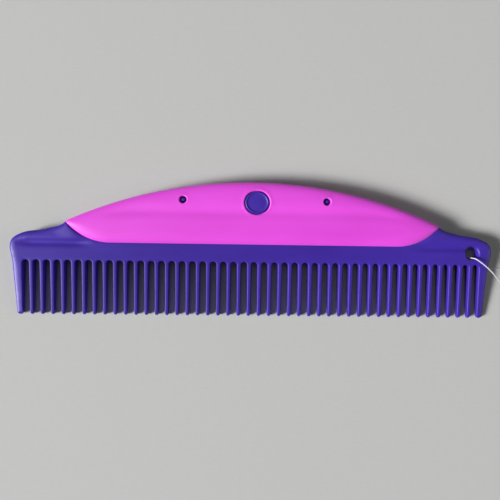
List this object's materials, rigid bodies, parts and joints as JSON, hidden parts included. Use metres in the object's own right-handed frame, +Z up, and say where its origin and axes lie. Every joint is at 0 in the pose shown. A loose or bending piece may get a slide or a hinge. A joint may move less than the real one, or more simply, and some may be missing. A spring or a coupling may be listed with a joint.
{
  "type": "mane and tail comb",
  "caption": "Long straight-toothed mane and tail comb with an arched soft grip moulded over its back, a hanging hole at one end and a thin tag loop through it.",
  "frame": {"origin": "bottom centre of the comb as it rests on its back, without its tag loop", "axes": "+X along the length towards the hanging hole, +Y from the tooth tips to the arched grip, +Z up out of the front face; the comb leans on its grip's belly and its tooth tips"},
  "size_m": [0.2694, 0.0634, 0.0111],
  "materials": {
    "violet_plastic": "satin injection moulding",
    "pink_rubber": "soft matt thermoplastic rubber",
    "clear_nylon": "natural nylon"
  },
  "bodies": {
    "root": {"comb_rail": "violet_plastic", "left_end_lobe": "violet_plastic", "right_end_lobe": "violet_plastic", "left_end_guard": "violet_plastic", "right_end_guard": "violet_plastic", "tooth_01": "violet_plastic", "tooth_02": "violet_plastic", "tooth_03": "violet_plastic", "tooth_04": "violet_plastic", "tooth_05": "violet_plastic", "tooth_06": "violet_plastic", "tooth_07": "violet_plastic", "tooth_08": "violet_plastic", "tooth_09": "violet_plastic", "tooth_10": "violet_plastic", "tooth_11": "violet_plastic", "tooth_12": "violet_plastic", "tooth_13": "violet_plastic", "tooth_14": "violet_plastic", "tooth_15": "violet_plastic", "tooth_16": "violet_plastic", "tooth_17": "violet_plastic", "tooth_18": "violet_plastic", "tooth_19": "violet_plastic", "tooth_20": "violet_plastic", "tooth_21": "violet_plastic", "tooth_22": "violet_plastic", "tooth_23": "violet_plastic", "tooth_24": "violet_plastic", "tooth_25": "violet_plastic", "tooth_26": "violet_plastic", "tooth_27": "violet_plastic", "tooth_28": "violet_plastic", "tooth_29": "violet_plastic", "tooth_30": "violet_plastic", "tooth_31": "violet_plastic", "tooth_32": "violet_plastic", "tooth_33": "violet_plastic", "tooth_34": "violet_plastic", "tooth_35": "violet_plastic", "tooth_36": "violet_plastic", "tooth_37": "violet_plastic", "tooth_38": "violet_plastic", "tooth_39": "violet_plastic", "tooth_40": "violet_plastic", "tooth_41": "violet_plastic", "tooth_42": "violet_plastic", "tooth_43": "violet_plastic", "tooth_44": "violet_plastic", "grip_core": "violet_plastic", "centre_medallion": "violet_plastic", "left_well_boss": "violet_plastic", "right_well_boss": "violet_plastic", "soft_grip": "pink_rubber", "tag_loop": "clear_nylon", "tag_loop_lock": "clear_nylon"}
  },
  "joints": []
}
